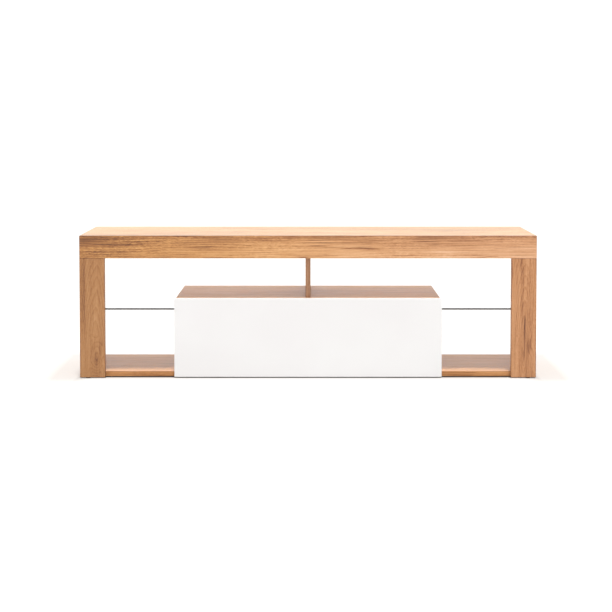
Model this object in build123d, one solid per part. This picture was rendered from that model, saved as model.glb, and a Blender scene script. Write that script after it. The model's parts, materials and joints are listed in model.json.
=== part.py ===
from build123d import *
import os
from math import atan2, degrees, hypot

# A low TV bench: an oak-look carcass on two L-shaped board legs, a cupboard in the middle
# with one white drop-down flap, and a glass shelf in the bay at each side of it.
# Millimetres. +X is to the right of a person facing the bench, the front faces -Y, +Z is up,
# and the origin is on the floor under the middle of the bench.

# ---- driving dimensions: the carcass
WIDTH = 1450.0
DEPTH = 350.0
HEIGHT = 455.0
BOARD = 16.0  # thickness of every laminated board
GLIDE_HEIGHT = 3.0  # the boards stand this far above the floor
FASCIA_HEIGHT = 72.0
LEG_WIDTH = 80.0
EASE = 0.6  # rounding of the boards' edges

# ---- driving dimensions: the cupboard
BOX_WIDTH = 842.0
BOX_TOP_Z = 255.0
BOX_BACK_Y = 147.0
BACK_PANEL = 3.0
BOX_SETBACK = 2.0  # the cupboard's front edges stand this far behind the flap
BOTTOM_SETBACK = 4.0
PARTITION_SETBACK = 9.0
CABLE_SLOT = (80.0, 40.0)
CABLE_SLOT_AT = (206.5, 150.0)  # across from the middle, and above the floor

# ---- driving dimensions: the flap and its hinges
FLAP_WIDTH = 850.0
FLAP_GAP = 4.5  # between the flap's lower edge and the floor
FLAP_EASE = 1.0
PIVOT_IN = 8.0  # the pivot lies this far behind the flap's front and above its lower edge
HINGE_X = 290.0
HINGE_WIDTH = 40.0
HINGE_PLATE = 2.0
KNUCKLE_R = 3.0
KNUCKLE_MID = 16.0  # width of the middle knuckle, which the fixed leaf carries
HINGE_PIN_R = 1.5
RUNNING = 0.1  # radial clearance of a pin in the leaf that turns on it
SIDE_PLAY = 0.2

# ---- driving dimensions: the braked stays, each a parallelogram with the flap's pivot
STUD_OUT = 12.0  # the flap's stud stands this far off its inner face
STUD_UP = 60.0  # and this far above the pivot
BRAKE_BACK = 104.0  # the brake's shaft lies behind and above the pivot
BRAKE_UP = 60.0
BRAKE_DEPTH = 12.0
LINK_GAP = 0.5
LINK_PLATE = 3.0
STUD_R = 2.5
STUD_CLEARANCE = 0.15

# ---- driving dimensions: the push latches
LATCH_X = 200.0
LATCH_DROP = 8.0  # the plunger's axis lies this far under the cupboard's top board
LATCH_LENGTH = 78.0
LATCH_BORE_R = 4.1
PLUNGER_R = 3.9
TIP_R = 5.0
TIP_GAP = 0.3
STRIKER = 1.0

# ---- driving dimensions: the glass shelves
GLASS = 5.0
GLASS_BOTTOM_Z = 216.5
GLASS_DEPTH = 293.0
GLASS_END_PLAY = 1.5
PAD = 0.8
SHELF_PIN_INSET = 35.0

# ---- driving dimensions: fasteners
DOWEL_R = 4.0
DOWEL_LENGTH = 30.0
CAM_R = 7.5
CAM_DEPTH = 12.5
CAM_REACH = 34.0  # from the joint to the middle of the cam
CAM_BORE_R = 4.0

# ---- planes and levels worked out from them
HALF = WIDTH / 2
FRONT_Y = -DEPTH / 2
BACK_Y = DEPTH / 2
INNER_FRONT_Y = FRONT_Y + BOARD
SIDE_IN_X = HALF - BOARD
SIDE_MID_X = HALF - BOARD / 2
TOP_UNDER_Z = HEIGHT - BOARD
TOP_MID_Z = HEIGHT - BOARD / 2
FASCIA_UNDER_Z = HEIGHT - FASCIA_HEIGHT
FLOOR_BOARD_Z = GLIDE_HEIGHT + BOARD
FLOOR_BOARD_MID_Z = GLIDE_HEIGHT + BOARD / 2
BOX_OUT_X = BOX_WIDTH / 2
BOX_IN_X = BOX_OUT_X - BOARD
BOX_MID_X = BOX_OUT_X - BOARD / 2
BOX_FRONT_Y = INNER_FRONT_Y + BOX_SETBACK
BOX_UNDER_Z = BOX_TOP_Z - BOARD
BOTTOM_FRONT_Y = INNER_FRONT_Y + BOTTOM_SETBACK
PARTITION_FRONT_Y = INNER_FRONT_Y + PARTITION_SETBACK
RAIL_MID_Y = BACK_Y - BOARD / 2
STRIP_MID_Y = FRONT_Y + BOARD / 2
PIVOT_Y = FRONT_Y + PIVOT_IN
PIVOT_Z = FLAP_GAP + PIVOT_IN
BRAKE_AT = (PIVOT_Y + BRAKE_BACK, PIVOT_Z + BRAKE_UP)
STUD_AT = (INNER_FRONT_Y + STUD_OUT, PIVOT_Z + STUD_UP)
CRANK_END = (STUD_AT[0] + BRAKE_BACK, STUD_AT[1] + BRAKE_UP)
CRANK_INSET = BRAKE_DEPTH + LINK_GAP
BAR_INSET = CRANK_INSET + LINK_PLATE + LINK_GAP
STUD_HEAD_INSET = BAR_INSET + LINK_PLATE + STUD_CLEARANCE * 2
LATCH_Z = BOX_UNDER_Z - LATCH_DROP
GLASS_FRONT_Y = BOTTOM_FRONT_Y
SIDES = (-1, 1)
UP = (0, 0, 1)
DOWN = (0, 0, -1)
FORWARD = (0, -1, 0)
BACKWARD = (0, 1, 0)

parts = {}  # node name to its list of solids
holes = []  # what is drilled out of every board that it reaches


# ---- plain shapes
def keep(name, *solids):
    """Adds solids to a node."""
    parts.setdefault(name, []).extend(solids)


def side_name(side):
    return "right" if side > 0 else "left"


def span(x, y, z):
    """A block between a low and a high limit on each axis."""
    middle = [(low + high) / 2 for low, high in (x, y, z)]
    return Pos(*middle) * Box(x[1] - x[0], y[1] - y[0], z[1] - z[0])


def across(side, near, far):
    """The low and high X of something between two distances from the middle, on one side."""
    return tuple(sorted((side * near, side * far)))


def rod(start, direction, radius, length):
    """A round bar from a point along a direction."""
    bar = Cylinder(radius, length, align=(Align.CENTER, Align.CENTER, Align.MIN))
    return Plane(origin=start, z_dir=direction).location * bar


def cone(start, direction, near_radius, far_radius, length):
    """A cone from a point along a direction."""
    body = Cone(near_radius, far_radius, length, align=(Align.CENTER, Align.CENTER, Align.MIN))
    return Plane(origin=start, z_dir=direction).location * body


def along(start, direction, distance):
    """The point at a distance from a start point."""
    return tuple(s + d * distance for s, d in zip(start, direction))


def cross_recess(start, direction, length, width, depth):
    """The cross-shaped slot of a driver, cut down from a head's face."""
    slots = Box(length, width, 2 * depth) + Box(width, length, 2 * depth)
    return Plane(origin=start, z_dir=direction).location * slots


def reaches(body, tool):
    """Whether two shapes' boxes meet."""
    a, b = body.bounding_box(), tool.bounding_box()
    pairs = zip(a.min, a.max, b.min, b.max)
    return all(a_low <= b_high and b_low <= a_high for a_low, a_high, b_low, b_high in pairs)


def drilled(body):
    """The body without the holes of the fasteners that reach it."""
    tools = [hole for hole in holes if reaches(body, hole)]
    return body - tools if tools else body


def board(name, x, y, z, ease=EASE, cutouts=()):
    """A laminated board with eased edges and its own cutouts, drilled for its fasteners."""
    body = fillet(span(x, y, z).edges(), ease)
    keep(name, drilled(body - list(cutouts) if cutouts else body))


# ---- fasteners
def wood_dowel(joint, into, in_face=10.0):
    """A fluted beech dowel across a joint, 10 mm of it in the board whose face is met."""
    start = along(joint, into, -in_face)
    bar = rod(start, into, DOWEL_R, DOWEL_LENGTH)
    holes.append(bar)
    ends = bar.edges().filter_by(GeomType.CIRCLE)
    keep("wood_dowels", chamfer(ends, 1.0))


def cam_joint(joint, into, face, capped=False):
    """A bolt in the face of one board, drawn in by a cam set in a face of the other."""
    thread_r, shank_r, head_r = 2.5, 3.0, 3.4
    thread, head_length = 11.0, 4.0
    root = along(joint, into, -thread)
    centre = along(joint, into, CAM_REACH)
    surface = along(centre, face, BOARD / 2)
    inward = tuple(-value for value in face)
    bore = rod(joint, into, CAM_BORE_R, CAM_REACH + head_length)
    pocket = rod(surface, inward, CAM_R, CAM_DEPTH)
    holes.extend([rod(root, into, thread_r, thread), bore, pocket])
    bolt = rod(root, into, thread_r, thread) + rod(joint, into, shank_r, CAM_REACH)
    bolt += rod(along(centre, into, -head_length / 2), into, head_r, head_length)
    keep("cam_bolts", bolt)
    disc = pocket - bore - cross_recess(surface, inward, 9.0, 1.6, 2.5)
    keep("cam_discs", disc)
    if capped:
        cap = rod(surface, face, CAM_R + 1.3, 0.9)
        cap = fillet(cap.edges().sort_by_distance(along(surface, face, 0.9))[:1], 0.6)
        keep("cam_caps", cap + rod(surface, inward, 0.7, 2.0))


def confirmat_screw(head_at, into):
    """A one-piece connector screw with its head flush in the board and a hexagon socket."""
    body = cone(head_at, into, 5.0, 3.5, 3.0)
    body += rod(along(head_at, into, 3.0), into, 3.5, 45.0)
    body += cone(along(head_at, into, 48.0), into, 3.5, 1.5, 2.0)
    holes.append(body)
    socket = extrude(RegularPolygon(2.3, 6), 2.5)
    keep("confirmat_screws", body - Plane(origin=head_at, z_dir=into).location * socket)


def wood_screw(name, head_at, into, length, head_r=3.2, shank_r=1.75):
    """A countersunk cross-head chipboard screw."""
    head = head_r - shank_r
    tip = 2.0
    body = cone(head_at, into, head_r, shank_r, head)
    body += rod(along(head_at, into, head), into, shank_r, length - head - tip)
    body += cone(along(head_at, into, length - tip), into, shank_r, 0.4, tip)
    holes.append(body)
    keep(name, body - cross_recess(head_at, into, 3.4, 0.8, 1.3))


def panel_nail(x, z):
    """A flat-headed nail through the thin back panel."""
    head_at = (x, BOX_BACK_Y + BACK_PANEL + 0.4, z)
    body = rod(head_at, FORWARD, 2.2, 0.8) + rod(head_at, FORWARD, 0.9, 20.0)
    holes.append(body)
    keep("back_panel_nails", body)


def floor_glide(x, y, radius):
    """A plastic glide with a rounded foot and a spike up into the board."""
    foot = rod((x, y, 0), UP, radius, GLIDE_HEIGHT)
    foot = fillet(foot.edges().group_by(Axis.Z)[0], 1.0)
    spike = rod((x, y, GLIDE_HEIGHT), UP, 1.2, 11.0)
    holes.append(spike)
    keep("floor_glides", foot + spike)


def shelf_pin(side, wall_x, out, y):
    """A plug-in shelf support with a clear pad, on a wall that faces out (-1 or +1 in X)."""
    seat_z = GLASS_BOTTOM_Z - PAD
    peg_z = seat_z - 4.7
    reach, half, plate = 9.0, 5.0, 2.0
    peg = rod((wall_x, y, peg_z), (-out, 0, 0), 2.5, 9.0)
    holes.append(peg)
    flange_x = tuple(sorted((wall_x, wall_x + out * 1.5)))
    seat_x = tuple(sorted((wall_x, wall_x + out * reach)))
    rib_x = tuple(sorted((wall_x, wall_x + out * (reach - 3.0))))
    flange = fillet(span(flange_x, (y - half, y + half), (seat_z - 9.0, seat_z)).edges(), 0.5)
    seat = fillet(span(seat_x, (y - half, y + half), (seat_z - plate, seat_z)).edges(), 0.5)
    rib = span(rib_x, (y - 1.0, y + 1.0), (seat_z - 7.0, seat_z - plate / 2))
    keep("shelf_pins", peg + flange + seat + rib)
    pad = rod((wall_x + out * 5.0, y, seat_z), UP, 3.5, PAD)
    keep("shelf_pin_pads", pad)


def carcass_fasteners():
    """Every dowel, cam, screw, nail and glide of the carcass."""
    cam_ys = (-105.0, 115.0)
    dowel_ys = (-60.0, 70.0)
    for side in SIDES:
        inside = (-side, 0, 0)
        for y in cam_ys:
            cam_joint((side * SIDE_MID_X, y, TOP_UNDER_Z), DOWN, inside, capped=True)
            cam_joint((side * SIDE_IN_X, y, FLOOR_BOARD_MID_Z), inside, DOWN)
            cam_joint((side * BOX_MID_X, y, BOX_UNDER_Z), DOWN, inside)
        for y in dowel_ys:
            wood_dowel((side * SIDE_MID_X, y, TOP_UNDER_Z), DOWN)
            wood_dowel((side * SIDE_IN_X, y, FLOOR_BOARD_MID_Z), inside)
            wood_dowel((side * BOX_MID_X, y, BOX_UNDER_Z), DOWN)
        cam_joint((side * SIDE_IN_X, RAIL_MID_Y, 400.0), inside, FORWARD)
        wood_dowel((side * SIDE_IN_X, RAIL_MID_Y, 425.0), inside)
        for z in (60.0, 150.0, 240.0, 330.0, 411.0):
            wood_dowel((side * SIDE_MID_X, INNER_FRONT_Y, z), BACKWARD)
        wood_dowel((side * (HALF - LEG_WIDTH / 2), STRIP_MID_Y, FASCIA_UNDER_Z), DOWN, in_face=15.0)
        for x in (100.0, 300.0, 500.0, 660.0):
            wood_dowel((side * x, INNER_FRONT_Y, TOP_MID_Z), BACKWARD)
        for x in (150.0, 450.0):
            wood_dowel((side * x, RAIL_MID_Y, TOP_UNDER_Z), DOWN)
        for y in (-80.0, 90.0):
            confirmat_screw((side * BOX_MID_X, y, GLIDE_HEIGHT), UP)
        floor_glide(side * (HALF - 25.0), STRIP_MID_Y, 7.0)
        floor_glide(side * SIDE_MID_X, BACK_Y - 20.0, 7.0)
        for y in (-120.0, 125.0):
            floor_glide(side * BOX_MID_X, y, 9.0)
    for y in cam_ys:
        cam_joint((0, y, TOP_UNDER_Z), DOWN, (1, 0, 0), capped=True)
    for y in dowel_ys:
        wood_dowel((0, y, TOP_UNDER_Z), DOWN)
        wood_dowel((0, y, BOX_UNDER_Z), DOWN)
    for y in (-110.0, 110.0):
        confirmat_screw((0, y, BOX_UNDER_Z), UP)
    for y in (-80.0, 90.0):
        confirmat_screw((0, y, GLIDE_HEIGHT), UP)
    for y in (-120.0, 125.0):
        floor_glide(0, y, 9.0)
    for x in (-375.0, -290.0, -120.0, 120.0, 290.0, 375.0):
        panel_nail(x, FLOOR_BOARD_MID_Z)
        panel_nail(x, BOX_TOP_Z - BOARD / 2)
    for x in (-BOX_MID_X, 0.0, BOX_MID_X):
        for z in (70.0, 125.0, 180.0):
            panel_nail(x, z)


# ---- glass shelves
def glass_shelf(side):
    """A toughened glass shelf with polished edges, on four pins."""
    x = across(side, BOX_OUT_X + GLASS_END_PLAY, SIDE_IN_X - GLASS_END_PLAY)
    y = (GLASS_FRONT_Y, GLASS_FRONT_Y + GLASS_DEPTH)
    pane = span(x, y, (GLASS_BOTTOM_Z, GLASS_BOTTOM_Z + GLASS))
    keep(f"glass_shelf_{side_name(side)}", chamfer(pane.edges(), 0.6))
    for pin_y in (y[0] + SHELF_PIN_INSET, y[1] - SHELF_PIN_INSET):
        shelf_pin(side, side * SIDE_IN_X, -side, pin_y)
        shelf_pin(side, side * BOX_OUT_X, side, pin_y)


# ---- flap hinges
def hinge_base_leaf(x):
    """The fixed leaf: a plate on the floor board, cranked down to the middle knuckle."""
    top = FLOOR_BOARD_Z + HINGE_PLATE
    plate_y = (BOTTOM_FRONT_Y + 2.0, BOTTOM_FRONT_Y + 37.0)
    middle = (x - KNUCKLE_MID / 2, x + KNUCKLE_MID / 2)
    for dx, y in ((-13.0, plate_y[1] - 10.0), (13.0, plate_y[1] - 10.0), (0.0, plate_y[0] + 12.0)):
        wood_screw("hinge_base_screws", (x + dx, y, top), DOWN, 14.0)
    plate = span((x - HINGE_WIDTH / 2, x + HINGE_WIDTH / 2), plate_y, (FLOOR_BOARD_Z, top))
    leaf = fillet(plate.edges().filter_by(Axis.Z), 4.0)
    leaf += span(middle, (PIVOT_Y, plate_y[0]), (FLOOR_BOARD_Z, top))
    leaf += span(middle, (PIVOT_Y, PIVOT_Y + HINGE_PLATE), (PIVOT_Z, top))
    leaf += rod((middle[0], PIVOT_Y, PIVOT_Z), (1, 0, 0), KNUCKLE_R, KNUCKLE_MID)
    leaf -= rod((middle[0], PIVOT_Y, PIVOT_Z), (1, 0, 0), HINGE_PIN_R, KNUCKLE_MID)
    keep("hinge_base_leaves", drilled(leaf))


def hinge_flap_leaf(x):
    """The moving leaf: two outer knuckles, cranked out to a plate let into the flap's back."""
    front = PIVOT_Y - KNUCKLE_R
    crank_z = FLAP_GAP + 20.0
    plate_z = (crank_z + HINGE_PLATE, crank_z + 34.0)
    width = (x - HINGE_WIDTH / 2, x + HINGE_WIDTH / 2)
    for dx, z in ((-13.0, plate_z[1] - 10.0), (13.0, plate_z[1] - 10.0), (0.0, plate_z[0] + 9.0)):
        wood_screw("hinge_flap_screws", (x + dx, INNER_FRONT_Y, z), FORWARD, 11.0)
    plate = span(width, (INNER_FRONT_Y - HINGE_PLATE, INNER_FRONT_Y), (crank_z, plate_z[1]))
    leaf = plate + span(width, (front, INNER_FRONT_Y), (crank_z, crank_z + HINGE_PLATE))
    length = (HINGE_WIDTH - KNUCKLE_MID) / 2 - SIDE_PLAY
    for low in (width[0], width[1] - length):
        outer = (low, low + length)
        leaf += span(outer, (front, front + HINGE_PLATE), (PIVOT_Z, crank_z + HINGE_PLATE))
        leaf += rod((low, PIVOT_Y, PIVOT_Z), (1, 0, 0), KNUCKLE_R, length)
        leaf -= rod((low, PIVOT_Y, PIVOT_Z), (1, 0, 0), HINGE_PIN_R + RUNNING, length)
    keep("hinge_flap_leaves", drilled(leaf))


def hinge_pin(x):
    """The hinge's pin, with a small head at each end."""
    head, head_r = 0.8, 2.4
    low = x - HINGE_WIDTH / 2
    pin = rod((low, PIVOT_Y, PIVOT_Z), (1, 0, 0), HINGE_PIN_R, HINGE_WIDTH)
    for start in (low - head - RUNNING / 2, low + HINGE_WIDTH + RUNNING / 2):
        pin += rod((start, PIVOT_Y, PIVOT_Z), (1, 0, 0), head_r, head)
    pin += rod((low - head, PIVOT_Y, PIVOT_Z), (1, 0, 0), HINGE_PIN_R, HINGE_WIDTH + 2 * head)
    keep("hinge_pins", pin)


def hinge_pockets(x):
    """What is milled out of the flap for one hinge."""
    half = HINGE_WIDTH / 2 + 1.5
    notch_top = FLAP_GAP + 22.5
    notch_y = (FRONT_Y + 4.0, INNER_FRONT_Y + 1.0)
    plate_y = (INNER_FRONT_Y - HINGE_PLATE, INNER_FRONT_Y + 1.0)
    notch = span((x - half, x + half), notch_y, (FLAP_GAP - 1.0, notch_top))
    recess = span((x - half, x + half), plate_y, (notch_top - 1.0, FLAP_GAP + 54.3))
    return [notch, recess]


# ---- braked stays
def side_plate(side, inset, thickness, outline):
    """A plate parallel to the cupboard's side, this far in from its inner face."""
    low = min(side * (BOX_IN_X - inset), side * (BOX_IN_X - inset - thickness))
    return Pos(low, 0, 0) * extrude(Plane.YZ * outline, thickness)


def link_outline(start, end, width):
    """A straight link with round ends about two points, in the YZ plane."""
    dy, dz = end[0] - start[0], end[1] - start[1]
    slot = SlotCenterToCenter(hypot(dy, dz), width, rotation=degrees(atan2(dz, dy)))
    return Pos((start[0] + end[0]) / 2, (start[1] + end[1]) / 2) * slot


def stay_stud(side, at):
    """A riveted stud with a round head, on which the bar's end turns."""
    disc = Pos(*at) * Circle(STUD_R)
    head = Pos(*at) * Circle(STUD_R + 2.0)
    stud = side_plate(side, CRANK_INSET, STUD_HEAD_INSET - CRANK_INSET + 0.5, disc)
    return stud + side_plate(side, STUD_HEAD_INSET, 1.5, head)


def stay_housing(side):
    """The brake: a round damper body on a screwed base, with the shaft that turns the crank."""
    ear = 29.0
    base = Pos(*BRAKE_AT) * SlotCenterToCenter(2 * ear, 18)
    body = side_plate(side, 0, 3.0, base)
    barrel = side_plate(side, 0, BRAKE_DEPTH, Pos(*BRAKE_AT) * Circle(21.0))
    barrel = fillet(barrel.edges(), 1.5)
    shaft = side_plate(side, BRAKE_DEPTH - 1.0, LINK_PLATE + 2.5, Pos(*BRAKE_AT) * Circle(4.0))
    shaft += side_plate(side, BAR_INSET, 1.5, Pos(*BRAKE_AT) * Circle(6.0))
    inward = (-side, 0, 0)
    for dy in (-ear, ear):
        head_at = (side * (BOX_IN_X - 3.0), BRAKE_AT[0] + dy, BRAKE_AT[1])
        wood_screw("stay_housing_screws", head_at, (side, 0, 0), 15.0)
    tuner_at = (side * (BOX_IN_X - BRAKE_DEPTH), BRAKE_AT[0] + 13.0, BRAKE_AT[1])
    body = body + barrel + shaft - cross_recess(tuner_at, inward, 6.0, 1.2, 1.5)
    keep(f"stay_housing_{side_name(side)}", drilled(body))


def stay_links(side):
    """The crank on the brake's shaft, its stud, and the bar from there to the flap."""
    name = side_name(side)
    crank = link_outline(BRAKE_AT, CRANK_END, 14) + Pos(*BRAKE_AT) * Circle(10.0)
    crank -= Pos(*BRAKE_AT) * Circle(4.0 + STUD_CLEARANCE)
    crank -= Pos(*CRANK_END) * Circle(STUD_R)
    keep(f"stay_crank_{name}", side_plate(side, CRANK_INSET, LINK_PLATE, crank))
    keep(f"stay_crank_stud_{name}", stay_stud(side, CRANK_END))
    bar = link_outline(STUD_AT, CRANK_END, 12)
    for at in (STUD_AT, CRANK_END):
        bar -= Pos(*at) * Circle(STUD_R + STUD_CLEARANCE)
    keep(f"stay_bar_{name}", side_plate(side, BAR_INSET, LINK_PLATE, bar))


def stay_bracket(side):
    """The angle bracket on the flap, with an ear for the stud."""
    base_inset, base_width, half, plate = 2.0, 26.0, 20.0, 2.0
    base_x = across(side, BOX_IN_X - base_inset, BOX_IN_X - base_inset - base_width)
    base_y = (INNER_FRONT_Y, INNER_FRONT_Y + plate)
    base = span(base_x, base_y, (STUD_AT[1] - half, STUD_AT[1] + half))
    base = fillet(base.edges().filter_by(Axis.Y), 3.0)
    ear = Pos(INNER_FRONT_Y + STUD_OUT / 2, STUD_AT[1]) * Rectangle(STUD_OUT, 20)
    ear += Pos(*STUD_AT) * Circle(10.0)
    ear -= Pos(*STUD_AT) * Circle(STUD_R)
    for inset in (6.5, 22.0):
        for dz in (-13.0, 13.0):
            head_at = (side * (BOX_IN_X - inset), base_y[1], STUD_AT[1] + dz)
            wood_screw("stay_bracket_screws", head_at, FORWARD, 13.0)
    body = base + side_plate(side, CRANK_INSET, LINK_PLATE, ear)
    keep("stay_brackets", drilled(body))
    keep("stay_bracket_studs", stay_stud(side, STUD_AT))


# ---- push latches
def push_latch(side):
    """A push-to-open latch under the cupboard's top: housing, sprung plunger and magnet."""
    name = side_name(side)
    x = side * LATCH_X
    mouth_y = BOX_FRONT_Y + 3.0
    tip_y = INNER_FRONT_Y + STRIKER + TIP_GAP
    spring_y = mouth_y + 46.0
    bore_end_y = mouth_y + LATCH_LENGTH - 4.0
    ears_y = (mouth_y + 18.0, mouth_y + 38.0)
    body = span((x - 8.0, x + 8.0), (mouth_y, mouth_y + LATCH_LENGTH), (LATCH_Z - 7.0, BOX_UNDER_Z))
    body = fillet(body.edges().filter_by(Axis.Y).group_by(Axis.Z)[0], 5.0)
    ears = span((x - 20.0, x + 20.0), ears_y, (BOX_UNDER_Z - 3.0, BOX_UNDER_Z))
    body += fillet(ears.edges().filter_by(Axis.Z), 4.0)
    for dx in (-14.0, 14.0):
        head_at = (x + dx, sum(ears_y) / 2, BOX_UNDER_Z - 3.0)
        wood_screw("latch_screws", head_at, UP, 13.0)
    body -= rod((x, mouth_y, LATCH_Z), BACKWARD, LATCH_BORE_R, bore_end_y - mouth_y)
    keep("latch_housings", drilled(body))
    tip = rod((x, tip_y, LATCH_Z), BACKWARD, TIP_R, mouth_y - 0.3 - tip_y)
    tip = fillet(tip.edges().group_by(Axis.Y)[0], 0.5)
    magnet = rod((x, tip_y, LATCH_Z), BACKWARD, 3.0, 2.2)
    plunger = tip + rod((x, mouth_y - 0.5, LATCH_Z), BACKWARD, PLUNGER_R, spring_y - mouth_y)
    keep(f"latch_plunger_{name}", plunger - magnet)
    keep(f"latch_magnet_{name}", magnet)
    latch_spring(name, x, spring_y, bore_end_y)
    disc = rod((x, INNER_FRONT_Y, LATCH_Z), BACKWARD, 9.0, STRIKER)
    disc = fillet(disc.edges().group_by(Axis.Y)[-1], 0.4)
    spigot = rod((x, INNER_FRONT_Y, LATCH_Z), FORWARD, 2.5, 9.0)
    holes.append(spigot)
    keep("latch_strikers", disc + spigot)


def latch_spring(name, x, low_y, high_y):
    """The compression spring behind the plunger, drawn with the latch closed."""
    wire_r, mean_r, turns, end_play = 0.35, 3.1, 9, 0.6
    height = high_y - low_y - 2 * end_play
    path = Helix(pitch=height / turns, height=height, radius=mean_r)
    section = Plane(origin=path @ 0, z_dir=path % 0) * Circle(wire_r)
    coil = sweep(section, path=path)
    start = Plane(origin=(x, low_y + end_play, LATCH_Z), z_dir=BACKWARD)
    keep(f"latch_spring_{name}", start.location * coil)


# ---- boards
def carcass_boards():
    """The boards of the bench, from the top down."""
    to_side = (GLIDE_HEIGHT, TOP_UNDER_Z)
    board("top_panel", (-HALF, HALF), (INNER_FRONT_Y, BACK_Y), (TOP_UNDER_Z, HEIGHT))
    board("top_fascia", (-HALF, HALF), (FRONT_Y, INNER_FRONT_Y), (FASCIA_UNDER_Z, HEIGHT))
    board("rear_rail", (-SIDE_IN_X, SIDE_IN_X), (BACK_Y - BOARD, BACK_Y), (FASCIA_UNDER_Z, TOP_UNDER_Z))
    for side in SIDES:
        name = side_name(side)
        strip_x = across(side, HALF - LEG_WIDTH, HALF)
        board(f"side_panel_{name}", across(side, SIDE_IN_X, HALF), (INNER_FRONT_Y, BACK_Y), to_side)
        board(f"leg_strip_{name}", strip_x, (FRONT_Y, INNER_FRONT_Y), (GLIDE_HEIGHT, FASCIA_UNDER_Z))
    floor_z = (GLIDE_HEIGHT, FLOOR_BOARD_Z)
    board("bottom_panel", (-SIDE_IN_X, SIDE_IN_X), (BOTTOM_FRONT_Y, BOX_BACK_Y), floor_z)


def cable_slot(side):
    """What is cut out of the back panel for the cables of one half of the cupboard."""
    at = (side * CABLE_SLOT_AT[0], BOX_BACK_Y, CABLE_SLOT_AT[1])
    outline = Plane(origin=at, x_dir=(1, 0, 0), z_dir=BACKWARD) * SlotOverall(*CABLE_SLOT)
    return extrude(outline, 2 * BACK_PANEL, both=True)


def cupboard_boards():
    """The cupboard's boards, the partition above it, its back panel and its flap."""
    deep = (BOX_FRONT_Y, BOX_BACK_Y)
    tall = (FLOOR_BOARD_Z, BOX_UNDER_Z)
    half = BOARD / 2
    board("cupboard_top", (-BOX_OUT_X, BOX_OUT_X), deep, (BOX_UNDER_Z, BOX_TOP_Z))
    for side in SIDES:
        board(f"cupboard_side_{side_name(side)}", across(side, BOX_IN_X, BOX_OUT_X), deep, tall)
    board("cupboard_divider", (-half, half), (BOX_FRONT_Y + 20.0, BOX_BACK_Y), tall)
    above = (BOX_TOP_Z, TOP_UNDER_Z)
    board("upper_partition", (-half, half), (PARTITION_FRONT_Y, BOX_BACK_Y), above)
    slots = [cable_slot(side) for side in SIDES]
    back_y = (BOX_BACK_Y, BOX_BACK_Y + BACK_PANEL)
    back_z = (GLIDE_HEIGHT, BOX_TOP_Z)
    board("cupboard_back", (-BOX_OUT_X, BOX_OUT_X), back_y, back_z, ease=0.3, cutouts=slots)
    pockets = [pocket for side in SIDES for pocket in hinge_pockets(side * HINGE_X)]
    flap_x = (-FLAP_WIDTH / 2, FLAP_WIDTH / 2)
    flap_z = (FLAP_GAP, BOX_TOP_Z)
    board("flap_door", flap_x, (FRONT_Y, INNER_FRONT_Y), flap_z, ease=FLAP_EASE, cutouts=pockets)


# ---- the whole bench: fittings first, because the boards are drilled for them
carcass_fasteners()
for each_side in SIDES:
    glass_shelf(each_side)
    hinge_base_leaf(each_side * HINGE_X)
    hinge_flap_leaf(each_side * HINGE_X)
    hinge_pin(each_side * HINGE_X)
    stay_housing(each_side)
    stay_links(each_side)
    stay_bracket(each_side)
    push_latch(each_side)
carcass_boards()
cupboard_boards()

os.makedirs("parts", exist_ok=True)
for node, shapes in parts.items():
    solids = [solid for shape in shapes for solid in shape.solids()]
    export_step(Compound(solids), f"parts/{node}.step")
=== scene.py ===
import json
import math

import bpy
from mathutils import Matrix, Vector


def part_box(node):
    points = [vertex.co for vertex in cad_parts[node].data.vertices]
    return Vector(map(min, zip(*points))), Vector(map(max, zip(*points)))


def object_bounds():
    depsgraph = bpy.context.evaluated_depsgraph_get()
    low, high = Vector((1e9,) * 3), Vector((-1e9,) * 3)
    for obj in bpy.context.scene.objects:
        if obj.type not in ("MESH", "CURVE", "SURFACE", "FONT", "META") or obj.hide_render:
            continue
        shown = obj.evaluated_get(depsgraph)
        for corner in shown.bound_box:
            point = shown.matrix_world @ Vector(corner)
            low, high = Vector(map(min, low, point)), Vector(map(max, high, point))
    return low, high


# The looks of a low TV stand: oak-look boards, one white lacquered flap, glass shelves and
# plated fittings, in a white studio. Metres, in the part's frame.

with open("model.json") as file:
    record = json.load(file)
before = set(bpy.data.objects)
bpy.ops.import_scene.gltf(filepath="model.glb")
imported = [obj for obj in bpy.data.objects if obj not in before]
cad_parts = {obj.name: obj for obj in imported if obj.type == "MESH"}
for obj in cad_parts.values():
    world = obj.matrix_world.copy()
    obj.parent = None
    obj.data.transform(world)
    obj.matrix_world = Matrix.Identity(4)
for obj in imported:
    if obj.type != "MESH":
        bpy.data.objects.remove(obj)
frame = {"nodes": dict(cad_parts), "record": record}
CAD_BOX = [list(corner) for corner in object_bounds()]
NODES = frame["nodes"]
SLOT_OF = {part["node"]: part["material_slot"] for part in frame["record"]["subparts"]}
LOW, HIGH = (Vector(corner) for corner in CAD_BOX)


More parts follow.
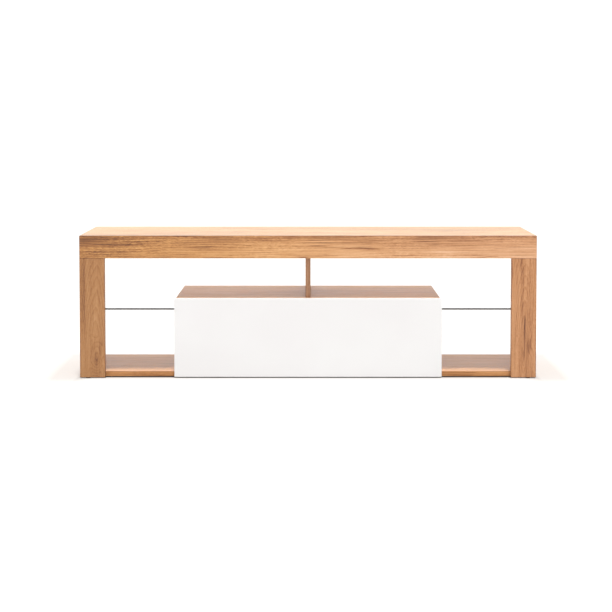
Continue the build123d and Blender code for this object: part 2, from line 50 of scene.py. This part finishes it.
# ---- building node trees
class Tree:
    """A shader node tree, with short calls for the nodes that the recipes below need."""

    def __init__(self, tree):
        self.nodes, self.links = tree.nodes, tree.links

    def put(self, value, socket):
        """Links an output to a socket, or sets a plain value on it."""
        if isinstance(value, bpy.types.NodeSocket):
            self.links.new(value, socket)
        elif isinstance(value, tuple) and len(value) == 3 and socket.type == "RGBA":
            socket.default_value = (*value, 1)
        else:
            socket.default_value = value

    def coords(self, output="Object"):
        return self.nodes.new("ShaderNodeTexCoord").outputs[output]

    def light_path(self, output):
        return self.nodes.new("ShaderNodeLightPath").outputs[output]

    def math(self, operation, *values):
        node = self.nodes.new("ShaderNodeMath")
        node.operation = operation
        for value, socket in zip(values, node.inputs):
            self.put(value, socket)
        return node.outputs[0]

    def add(self, first, second, times):
        """first + second * times."""
        return self.math("MULTIPLY_ADD", second, times, first)

    def split(self, vector):
        node = self.nodes.new("ShaderNodeSeparateXYZ")
        self.links.new(vector, node.inputs[0])
        return node.outputs[:]

    def join(self, x, y, z):
        node = self.nodes.new("ShaderNodeCombineXYZ")
        for value, socket in zip((x, y, z), node.inputs):
            self.put(value, socket)
        return node.outputs[0]

    def mapped(self, vector, scale, offset=(0, 0, 0)):
        node = self.nodes.new("ShaderNodeMapping")
        self.links.new(vector, node.inputs["Vector"])
        node.inputs["Location"].default_value = offset
        node.inputs["Scale"].default_value = scale
        return node.outputs[0]

    def noise(self, vector, detail=2.0, roughness=0.5, distortion=0.0):
        node = self.nodes.new("ShaderNodeTexNoise")
        self.links.new(vector, node.inputs["Vector"])
        node.inputs["Scale"].default_value = 1.0
        node.inputs["Detail"].default_value = detail
        node.inputs["Roughness"].default_value = roughness
        node.inputs["Distortion"].default_value = distortion
        return node.outputs["Fac"]

    def cloud(self, scale, *shape):
        """Noise with the same scale, in changes per metre, along all three axes."""
        return self.noise(self.mapped(self.coords(), (scale, scale, scale)), *shape)

    def specks(self, scale):
        """The distance from the nearest of many scattered points."""
        node = self.nodes.new("ShaderNodeTexVoronoi")
        self.links.new(self.mapped(self.coords(), (scale, scale, scale)), node.inputs["Vector"])
        node.inputs["Scale"].default_value = 1.0
        return node.outputs["Distance"]

    def range(self, value, start, end, low=0.0, high=1.0):
        """Maps start..end smoothly onto low..high, and holds it beyond."""
        node = self.nodes.new("ShaderNodeMapRange")
        node.interpolation_type = "SMOOTHSTEP"
        for item, socket in zip((value, start, end, low, high), node.inputs):
            self.put(item, socket)
        return node.outputs[0]

    def ramp(self, factor, *stops):
        """A colour ramp from (position, grey or colour) stops."""
        node = self.nodes.new("ShaderNodeValToRGB")
        elements = node.color_ramp.elements
        while len(elements) < len(stops):
            elements.new(0.5)
        for element, (position, tone) in zip(elements, stops):
            colour = (tone, tone, tone) if isinstance(tone, (int, float)) else tone
            element.position = position
            element.color = (*colour, 1)
        self.links.new(factor, node.inputs["Fac"])
        return node.outputs["Color"]

    def mix(self, factor, first, second, blend="MIX"):
        """One colour from two."""
        node = self.nodes.new("ShaderNodeMix")
        node.data_type, node.blend_type = "RGBA", blend
        for value, socket in zip((factor, first, second), (node.inputs[0], node.inputs[6], node.inputs[7])):
            self.put(value, socket)
        return node.outputs[2]

    def either(self, switch, first, second):
        """The number first where the switch is 0, second where it is 1."""
        node = self.nodes.new("ShaderNodeMix")
        for value, socket in zip((switch, first, second), (node.inputs[0], node.inputs[2], node.inputs[3])):
            self.put(value, socket)
        return node.outputs[0]


class Material(Tree):
    """A node material around one Principled shader."""

    def __init__(self, name):
        self.material = bpy.data.materials.new(name)
        self.material.use_nodes = True
        super().__init__(self.material.node_tree)
        self.shader = self.nodes["Principled BSDF"]
        self.output = self.nodes["Material Output"]

    def set(self, **values):
        """Sets the shader's own sockets, by name with underscores."""
        for name, value in values.items():
            self.put(value, self.shader.inputs[name.replace("_", " ")])

    def bump(self, height, distance):
        node = self.nodes.new("ShaderNodeBump")
        node.inputs["Distance"].default_value = distance
        self.links.new(height, node.inputs["Height"])
        self.links.new(node.outputs[0], self.shader.inputs["Normal"])


# ---- camera, light and floor
LENS_MM = 79.3
CAMERA_DISTANCE = 4.256  # from the front plane
CAMERA_HEIGHT = 0.841
CAMERA_TILT = math.radians(2.5)
CAMERA_SHIFT = (-0.0033, -0.2180)

STUDIO_WHITE = (1.0, 0.985, 0.97)
FRONT_LIGHT, BACK_LIGHT = 0.72, 1.45  # the studio's strength behind the camera, and behind the stand
OVERHEAD_FROM, OVERHEAD_SHARE = 0.5, 0.6  # how far up it starts to dim, and the share left straight above
KEY_ENERGY, KEY_SPREAD, KEY_TOWARDS = 2.8, 7, (-0.1, 0.6, -3.3)

FLOOR_HALF = 60.0
FLOOR_GREY, FLOOR_PALE = (0.41, 0.395, 0.38), (0.62, 0.61, 0.60)  # beside and behind the stand, and in front
# The floor's glow is painted light, for the floor is no lamp. It stops beneath the stand and weakens close to
# its ends, which paints a shadow there.
PAINTED_FLOOR_GLOW = (1.0, 0.98, 0.96)
PAINTED_GLOW_STRENGTH = 0.55, 0.30  # beside and behind the stand, and in front
GLOW_LEFT_IN_PAINTED_SHADE = 0.56  # the share of it that is left close to the stand's ends, a painted shade there
# How far past the stand's faces or ends each of these starts, and how far past them it is whole. Together
# they shape the painted shadow round the stand.
AT_FACES = (-0.024, 0.014)  # the crisp edge of the painted shadow, in front of the stand and behind it
AT_CORNERS = (-0.12, 0.20)  # its soft edge, which takes over past an end
TO_CORNERS = (-0.06, 0.02)  # that change from crisp to soft
AT_ENDS, PAST_ENDS = (-0.012, 0.02), (0.0, 0.16)  # the weaker glow close to an end, and the whole one
FRONT_WHOLE = 0.10  # from this far in front of the stand on, the floor is all pale


def make_camera():
    """A long lens at table height, in front of the middle, tilted a little down."""
    data = bpy.data.cameras.new("camera")
    data.lens = LENS_MM
    data.shift_x, data.shift_y = CAMERA_SHIFT
    camera = bpy.data.objects.new("camera", data)
    camera.location = (0, LOW.y - CAMERA_DISTANCE, CAMERA_HEIGHT)
    camera.rotation_euler = (math.pi / 2 - CAMERA_TILT, 0, 0)
    bpy.context.scene.collection.objects.link(camera)
    bpy.context.scene.camera = camera


def make_key_light():
    """A soft directional light from above, a little in front and to the right."""
    data = bpy.data.lights.new("key_light", "SUN")
    data.energy = KEY_ENERGY
    data.angle = math.radians(KEY_SPREAD)
    sun = bpy.data.objects.new("key_light", data)
    sun.rotation_euler = Vector(KEY_TOWARDS).to_track_quat("-Z", "Y").to_euler()
    bpy.context.scene.collection.objects.link(sun)


def make_world():
    """A white studio, brightest behind the stand and dimmer overhead, but never seen as less than white."""
    world = bpy.data.worlds.new("studio")
    bpy.context.scene.world = world
    world.use_nodes = True
    tree = Tree(world.node_tree)
    _, y, z = tree.split(tree.coords("Generated"))
    wall = tree.range(y, -1.0, 1.0, FRONT_LIGHT, BACK_LIGHT)
    overhead = tree.range(z, OVERHEAD_FROM, 1.0, 1.0, OVERHEAD_SHARE)
    strength = tree.math("MAXIMUM", tree.math("MULTIPLY", wall, overhead), tree.light_path("Is Camera Ray"))
    sky = tree.nodes["Background"]
    tree.put(strength, sky.inputs["Strength"])
    tree.put(STUDIO_WHITE, sky.inputs["Color"])


def make_floor():
    """A pale floor with a painted glow round the stand, as on a light table, so that shadows stay faint.

    The glow stops beneath the stand and is weaker close to its ends, which paints a shadow there.
    In front, the floor is paler and glows less, so that the open flap throws a shadow.
    """
    mesh = bpy.data.meshes.new("studio_floor")
    corners = [(x * FLOOR_HALF, y * FLOOR_HALF, 0) for x, y in ((-1, -1), (1, -1), (1, 1), (-1, 1))]
    mesh.from_pydata(corners, [], [(0, 1, 2, 3)])
    floor = bpy.data.objects.new("studio_floor", mesh)
    bpy.context.scene.collection.objects.link(floor)
    look = Material("studio_floor")
    x, y, _ = look.split(look.coords())
    past_ends = look.math("SUBTRACT", look.math("ABSOLUTE", x), HIGH.x)
    past_faces = look.math("SUBTRACT", look.math("ABSOLUTE", y), HIGH.y)
    # Painted shadow: the glow is cut away beneath the stand and along its faces, and more softly past its
    # ends.
    crisp = look.range(past_faces, *AT_FACES)
    soft = look.range(past_faces, *AT_CORNERS)
    faces = look.either(look.range(past_ends, *TO_CORNERS), crisp, soft)
    near = look.math("MAXIMUM", look.range(past_ends, *AT_ENDS, 0.0, GLOW_LEFT_IN_PAINTED_SHADE), faces)
    glow = look.math("MAXIMUM", near, look.range(past_ends, *PAST_ENDS))
    front = look.range(y, LOW.y - FRONT_WHOLE, LOW.y, 1.0, 0.0)
    look.set(Base_Color=look.mix(front, FLOOR_GREY, FLOOR_PALE), Roughness=0.9, Specular_IOR_Level=0.0)
    look.set(Emission_Strength=look.math("MULTIPLY", glow, look.range(front, 0.0, 1.0, *PAINTED_GLOW_STRENGTH)))
    look.set(Emission_Color=PAINTED_FLOOR_GLOW)
    mesh.materials.append(look.material)


def make_studio():
    bpy.context.scene.view_settings.view_transform = "Standard"
    bpy.context.scene.view_settings.look = "None"
    make_camera()
    make_world()
    make_floor()
    make_key_light()


# ---- oak-look laminate
OAK = (  # from the darkest crack to the palest fleck
    (0.00, (0.130, 0.045, 0.018)),
    (0.25, (0.330, 0.135, 0.045)),
    (0.50, (0.550, 0.265, 0.098)),
    (0.75, (0.680, 0.365, 0.155)),
    (1.00, (0.800, 0.490, 0.250)),
)
LAYERS = {  # changes per metre along and across the grain, shift, detail, roughness and distortion
    "broad": (1.3, 7, 2.1, 3),
    "streak": (4.5, 75, 6.4, 3, 0.55, 0.3),
    "fibre": (16, 420, 8.8, 3, 0.6),
    "patch": (2.6, 22, 15.2, 1),
    "crack": (6, 230, 3.9, 2, 0.5, 0.5),
    "vein": (2.6, 300, 31.1, 2, 0.5, 0.6),
    "pore": (95, 1500, 27.7, 1),
    "ray": (75, 210, 19.4, 1, 0.5, 1.0),
    "pith": (3.5, 9, 11.3, 3),
    "depth": (2.0, 14, 4.7),
    "knot": (14, 40, 7.7, 1),
}
MARKS = {"crack": (0.09, 0.16), "vein": (0.10, 0.17), "pore": (0.06, 0.14)}  # noise that makes a mark
CRACKED, RAYED = (0.0, 0.09), (-0.1, 0.1, 1.0, 0.25)  # how strong cracks and rays are in each patch
WANDERS = {"pith": 0.022, "depth": 0.03, "knot": 0.012}  # how far each strays
KNOT_DEPTH = 0.03  # how far a knot bends the rings
RING = ((0.0, 0.0), (0.55, 0.25), (0.88, 1.0), (1.0, 0.0))  # a ring's darkness on the way to the next one
START_TONE = 0.61  # on OAK's scale, before the layers
MIDDLE_TONE = 0.6  # on OAK's scale, where most of the print lies
SHARES = {  # of each layer in the tone
    "broad": 0.55, "streak": 0.90, "fibre": 0.30, "ring": -0.19, "crack": -0.42, "vein": -0.20, "pore": -0.10,
    "heart": -0.18,
}
RIM = 0.0018  # how far a board's darker rims reach
KNOT_SQUEEZE = 0.33  # a knot is this much narrower than it is long


class Oak(Material):
    """Rustic oak print on one board: one tone on OAK's scale, from layers drawn out along the grain.

    seed moves the print. tone tints it, far_tone its high end, and edge_tone its narrow faces. ends
    lightens it at its low end, middle and high end, and sides from its low to its high side. pith
    places the growth rings and knot a knot among them. rays, rims and banding say how strong the ray
    flecks are, and how dark the rims and the long narrow faces. contrast spreads the whole figure.
    """

    def __init__(self, node, grain, seed, tone=(1, 1, 1), far_tone=None, edge_tone=None, ends=(0, 0, 0),
                 sides=(0, 0), pith=(0.16, 0.05, 0.02, 135), knot=None, rays=0.4, rims=0.3, painted_edge_shade=0.0,
                 contrast=1.0, gloss=0.5):
        super().__init__(f"oak_{node}")
        self.seed = seed
        length, width = self.grain_space(node, grain)
        fibre, pore, patch = self.layer("fibre"), self.mark("pore"), self.layer("patch")
        crack = self.math("MULTIPLY", self.mark("crack"), self.range(patch, *CRACKED))
        value = self.figure(fibre, pore, patch, crack, pith, knot, rays)
        value = self.math("MULTIPLY_ADD", self.math("SUBTRACT", value, MIDDLE_TONE), contrast, MIDDLE_TONE)
        value = self.math("ADD", value, self.range(self.along, -length / 2, 0.0, ends[0], ends[1]))
        value = self.math("ADD", value, self.range(self.along, 0.0, length / 2, 0.0, ends[2] - ends[1]))
        value = self.math("ADD", value, self.range(self.cross, -width / 2, width / 2, *sides))
        value = self.math("ADD", value, self.range(self.rim, 0.0, RIM, -rims, 0.0))
        # Painted shade: the long narrow faces, the recessed front edge among them, are darkened.
        value = self.add(value, self.long_edge, -painted_edge_shade)
        if far_tone:
            tone = self.mix(self.range(self.along, -length / 2, length / 2), tone, far_tone)
        if edge_tone:
            tone = self.mix(self.any_edge, tone, edge_tone)
        self.set(Base_Color=self.mix(1.0, self.ramp(value, *OAK), tone, "MULTIPLY"))
        self.set(Roughness=self.range(fibre, -0.15, 0.15, 0.40, 0.30), IOR=1.5, Specular_IOR_Level=gloss)
        self.bump(self.add(self.add(fibre, crack, -0.6), pore, -0.4), 0.0001)

    def grain_space(self, node, grain):
        """Sets out places on the board from its middle, and gives its length and its width.

        The grain runs along the first axis, or along the edge on an end.
        """
        low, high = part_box(node)
        to_middle = [-(a + b) / 2 for a, b in zip(low, high)]
        size = [b - a for a, b in zip(low, high)]
        axes = {"x": (0, 1, 2), "z": (2, 1, 0)}[grain]
        place = self.split(self.mapped(self.coords(), (1, 1, 1), to_middle))
        normal = self.split(self.coords("Normal"))
        run, across, depth = (place[axis] for axis in axes)
        on_end = self.facing(normal[axes[0]])
        self.along, wide = self.either(on_end, run, across), self.either(on_end, across, run)
        self.place = self.join(self.along, wide, depth)
        self.cross = self.math("ADD", wide, depth)
        self.long_edge = self.facing(normal[max(axes[1:], key=lambda axis: size[axis])])
        self.any_edge = self.math("MAXIMUM", self.long_edge, on_end)
        out = (self.math("ABSOLUTE", part) for part in place)
        self.rim = self.middle_one(*(self.math("SUBTRACT", side / 2, part) for side, part in zip(size, out)))
        return size[axes[0]], max(size[axes[1]], size[axes[2]])

    def facing(self, part):
        """1 on the faces across an axis, from the normal's part along it."""
        return self.math("GREATER_THAN", self.math("ABSOLUTE", part), 0.7)

    def middle_one(self, a, b, c):
        """The middle one of three depths below a board's faces, which is small only at its rims."""
        larger = self.math("MINIMUM", self.math("MAXIMUM", a, b), c)
        return self.math("MAXIMUM", self.math("MINIMUM", a, b), larger)

    def layer(self, name):
        """One of LAYERS, centred on zero."""
        run, cross, shift, *shape = LAYERS[name]
        moved = [shift + part for part in self.seed]
        value = self.noise(self.mapped(self.place, (run, cross, cross), moved), *shape)
        return self.math("SUBTRACT", value, 0.5)

    def mark(self, name):
        """1 where a layer's noise is strong, and 0 elsewhere."""
        return self.range(self.layer(name), *MARKS[name])

    def wander(self, value, name):
        """A place that strays a little by a layer of its own."""
        return self.add(value, self.layer(name), WANDERS[name])

    def figure(self, fibre, pore, patch, crack, pith, knot, rays):
        """The print's tone, before the board's ends, sides and rims change it."""
        eye = self.eye(*knot) if knot else 0.0
        ray = self.math("MULTIPLY", self.layer("ray"), self.range(patch, *RAYED))
        value = self.math("MULTIPLY_ADD", self.layer("broad"), SHARES["broad"], START_TONE)
        value = self.add(value, self.layer("streak"), SHARES["streak"])
        value = self.add(value, fibre, SHARES["fibre"])
        value = self.add(value, self.rings(eye, *pith), SHARES["ring"])
        value = self.add(value, crack, SHARES["crack"])
        value = self.add(value, self.mark("vein"), SHARES["vein"])
        value = self.add(value, pore, SHARES["pore"])
        value = self.add(value, ray, rays)
        return self.add(value, self.range(eye, 0.75, 1.0), SHARES["heart"])

    def eye(self, along, aside, radius):
        """1 at the heart of a knot, falling to 0 at its radius."""
        run = self.math("MULTIPLY", self.math("SUBTRACT", self.along, along), KNOT_SQUEEZE)
        across = self.wander(self.math("SUBTRACT", self.cross, aside), "knot")
        square = self.math("MULTIPLY_ADD", run, run, self.math("MULTIPLY", across, across))
        return self.range(self.math("SQRT", square), 0.0, radius, 1.0, 0.0)

    def rings(self, eye, offset, start, slope, rate):
        """Growth rings, rate to a metre, round a pith that lies offset to one side.

        The pith is start deep at the board's middle and slopes from there. The rings bend round a knot.
        """
        aside = self.wander(self.math("SUBTRACT", self.cross, offset), "pith")
        depth = self.wander(self.math("MULTIPLY_ADD", self.along, slope, start), "depth")
        depth = self.add(depth, eye, KNOT_DEPTH)
        square = self.math("MULTIPLY_ADD", aside, aside, self.math("MULTIPLY", depth, depth))
        turn = self.math("FRACT", self.math("MULTIPLY", self.math("SQRT", square), rate))
        return self.ramp(turn, *RING)


# ---- the other materials
def white_lacquer():
    """White semi-gloss lacquer with the faint orange peel of a sprayed board."""
    look = Material("white_lacquer")
    peel = look.cloud(170, 1)
    tint = look.noise(look.mapped(look.coords(), (4, 4, 6)), 1)
    look.set(Base_Color=look.ramp(tint, (0.35, (0.772, 0.768, 0.774)), (0.65, (0.790, 0.792, 0.796))))
    look.set(Roughness=look.range(peel, 0.3, 0.7, 0.30, 0.36))
    look.bump(peel, 0.00005)
    return look.material


def clear_glass():
    """Clear toughened glass that lets lamps through, with an absorption that only long ways show."""
    look = Material("clear_glass")
    smear = look.cloud(9, 2)
    look.set(Base_Color=look.ramp(smear, (0.4, 1.0), (0.8, 0.985)))
    look.set(IOR=1.5, Transmission_Weight=1.0, Roughness=0.0)
    clear = look.nodes.new("ShaderNodeBsdfTransparent")
    look.put((0.94, 0.955, 0.95), clear.inputs["Color"])
    both = look.nodes.new("ShaderNodeMixShader")
    look.put(look.light_path("Is Shadow Ray"), both.inputs[0])
    look.put(look.shader.outputs[0], both.inputs[1])
    look.put(clear.outputs[0], both.inputs[2])
    look.put(both.outputs[0], look.output.inputs["Surface"])
    absorb = look.nodes.new("ShaderNodeVolumeAbsorption")
    look.put((0.25, 0.36, 0.34), absorb.inputs["Color"])
    look.put(12.0, absorb.inputs["Density"])
    look.put(absorb.outputs[0], look.output.inputs["Volume"])
    return look.material


def plated(name, colour, rough, brush=(40, 40, 900)):
    """A plated metal with fine drawn lines and a little cloudiness."""
    look = Material(name)
    lines = look.noise(look.mapped(look.coords(), brush), 3, 0.6)
    dull = tuple(channel * 0.86 for channel in colour)
    look.set(Base_Color=look.mix(look.range(look.cloud(60, 2), 0.35, 0.65), colour, dull), Metallic=1.0)
    look.set(Roughness=look.range(lines, 0.3, 0.7, rough, rough + 0.12))
    look.bump(lines, 0.00002)
    return look.material


def moulded(name, colour, rough=0.45):
    """A moulded plastic with a fine spark-eroded texture."""
    look = Material(name)
    grain = look.cloud(1500, 2)
    dark = tuple(channel * 0.9 for channel in colour)
    look.set(Base_Color=look.mix(look.cloud(30, 1), colour, dark))
    look.set(Roughness=look.range(grain, 0.3, 0.7, rough, rough + 0.1))
    look.bump(grain, 0.00004)
    return look.material


def hardboard():
    """Brown hardboard with felted fibres and darker specks."""
    look = Material("hardboard")
    felt = look.cloud(240, 4, 0.7)
    body = look.ramp(felt, (0.35, (0.205, 0.105, 0.048)), (0.65, (0.34, 0.19, 0.095)))
    body = look.mix(look.range(look.specks(300), 0.06, 0.16, 0.6, 0.0), body, (0.10, 0.05, 0.025))
    body = look.mix(look.math("MULTIPLY", look.cloud(5, 2), 0.35), body, (0.30, 0.17, 0.085))
    look.set(Base_Color=body, Roughness=0.62)
    look.bump(felt, 0.0001)
    return look.material


def soft_pad():
    """A clear soft pad, slightly milky."""
    look = Material("soft_pad")
    milk = look.ramp(look.cloud(400, 1), (0.3, 0.72), (0.7, 0.80))
    look.set(Base_Color=milk, Roughness=0.35, Transmission_Weight=0.4)
    return look.material


# ---- which board has which print
BOARDS = {  # the dowels are beech, and too thin for their print to show
    "top_panel": dict(grain="x", seed=(0.0, 0.3, 0.1), tone=(0.97, 1.04, 0.98)),
    "top_fascia": dict(
        grain="x", seed=(0.35, 0.13, 0.42), tone=(1, 1, 0.85), far_tone=(0.98, 0.99, 1.22),
        ends=(-0.24, 0.05, 0.04), sides=(0.12, -0.19), rays=0.65,
    ),
    "rear_rail": dict(grain="x", seed=(1.7, 0.2, 0.9)),
    # Its long narrow faces are darkened, a painted shade on its recessed front edge.
    "bottom_panel": dict(
        grain="x", seed=(2.9, 0.4, 0.2), tone=(1.06, 1.06, 1.12), painted_edge_shade=0.07, contrast=0.6, gloss=0.2,
    ),
    # Painted light: its print is much paler, to offset the shade under the top panel. edge_tone keeps its
    # narrow faces at the plain print.
    "cupboard_top": dict(
        grain="x", seed=(4.1, 0.1, 0.6), tone=(1.42, 1.48, 1.3), edge_tone=(1, 1, 1), contrast=0.6, gloss=0.2,
    ),
    "side_panel_left": dict(grain="z", seed=(0.5, 1.1, 0.3)),
    "side_panel_right": dict(grain="z", seed=(1.9, 2.3, 0.7)),
    "leg_strip_left": dict(
        grain="z", seed=(3.3, 0.6, 1.2), tone=(0.63, 0.57, 0.50), pith=(0.004, 0.03, 0.13, 190),
        knot=(-0.13, 0.004, 0.03),
    ),
    "leg_strip_right": dict(
        grain="z", seed=(5.1, 1.4, 0.5), tone=(0.83, 0.77, 0.82), pith=(-0.008, 0.012, 0.12, 190),
        knot=(-0.09, 0.012, 0.034), rims=0.5,
    ),
    "cupboard_side_left": dict(grain="z", seed=(6.2, 0.8, 1.9)),
    "cupboard_side_right": dict(grain="z", seed=(7.4, 1.8, 0.2)),
    "cupboard_divider": dict(grain="z", seed=(8.3, 2.6, 1.4)),
    # Painted shade: a darker, greyer print for its place under the top, and darker towards its top end, a
    # painted shadow of the fascia.
    "upper_partition": dict(
        grain="z", seed=(9.2, 0.9, 2.2), tone=(0.64, 0.63, 0.80), ends=(0.06, 0.0, -0.08),
    ),
    "wood_dowels": dict(grain="x", seed=(11.0, 0.0, 0.0)),
}


def make_materials():
    """One material per slot, and one per oak board, so that no two boards look alike."""
    oaks = {node: Oak(node, **board).material for node, board in BOARDS.items()}
    slots = {
        "white_gloss_board": white_lacquer(),
        "back_panel": hardboard(),
        "clear_glass": clear_glass(),
        "nickel": plated("nickel", (0.72, 0.70, 0.67), 0.32),
        "bright_steel": plated("bright_steel", (0.68, 0.68, 0.68), 0.14, brush=(900, 60, 60)),
        "zinc": plated("zinc", (0.55, 0.56, 0.58), 0.30, brush=(300, 300, 300)),
        "grey_plastic": moulded("grey_plastic", (0.23, 0.24, 0.25)),
        "white_plastic": moulded("white_plastic", (0.78, 0.78, 0.76), 0.38),
        "brown_plastic": moulded("brown_plastic", (0.42, 0.21, 0.095)),
        "black_plastic": moulded("black_plastic", (0.018, 0.018, 0.018)),
        "clear_pad": soft_pad(),
    }
    for name, node in NODES.items():
        node.data.materials.clear()
        node.data.materials.append(oaks.get(name) or slots[SLOT_OF[name]])


make_studio()
make_materials()
